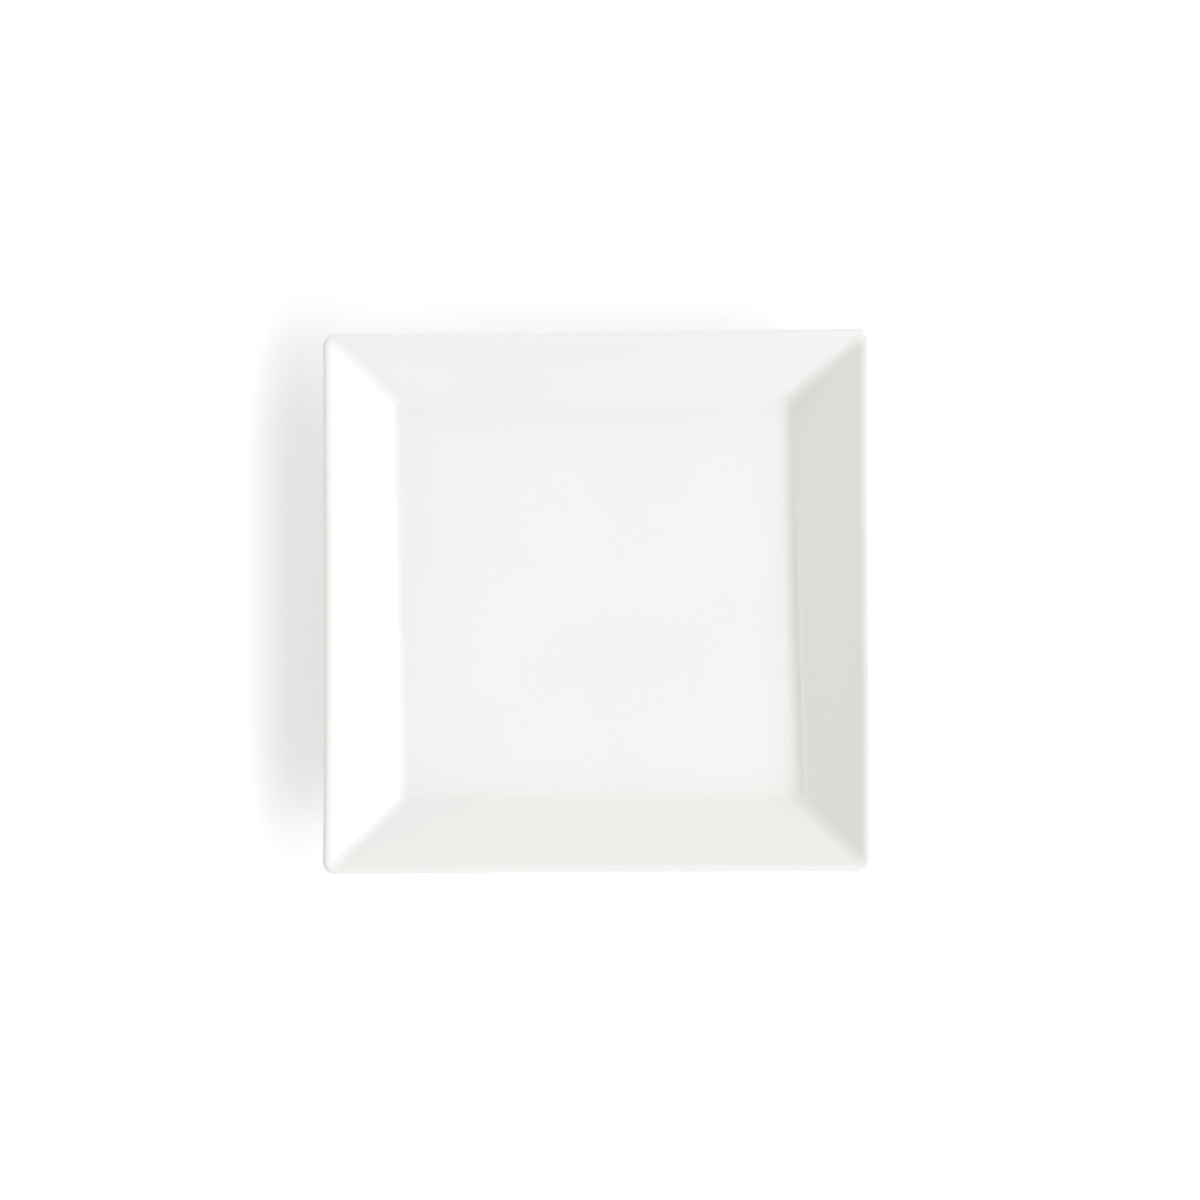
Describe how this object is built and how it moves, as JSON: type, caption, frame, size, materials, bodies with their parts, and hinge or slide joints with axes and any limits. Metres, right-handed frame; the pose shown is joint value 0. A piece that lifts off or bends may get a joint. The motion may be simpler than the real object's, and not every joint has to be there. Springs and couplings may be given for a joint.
{
  "type": "square plate",
  "caption": "Square glazed porcelain plate with a flat well, four sloped walls meeting in soft mitres, a rounded rim and a bare foot ring, for serving food.",
  "frame": {"origin": "on the table, under the middle of the plate", "axes": "+Z up out of the well, +X and +Y square to the walls; seen from above, +Y is up in the picture"},
  "size_m": [0.21, 0.21, 0.023],
  "materials": {
    "bare_porcelain": "matte",
    "white_glaze": "polished"
  },
  "bodies": {
    "root": {"porcelain_body": "bare_porcelain", "glaze_coat": "white_glaze", "underside_glaze": "white_glaze"}
  },
  "joints": []
}
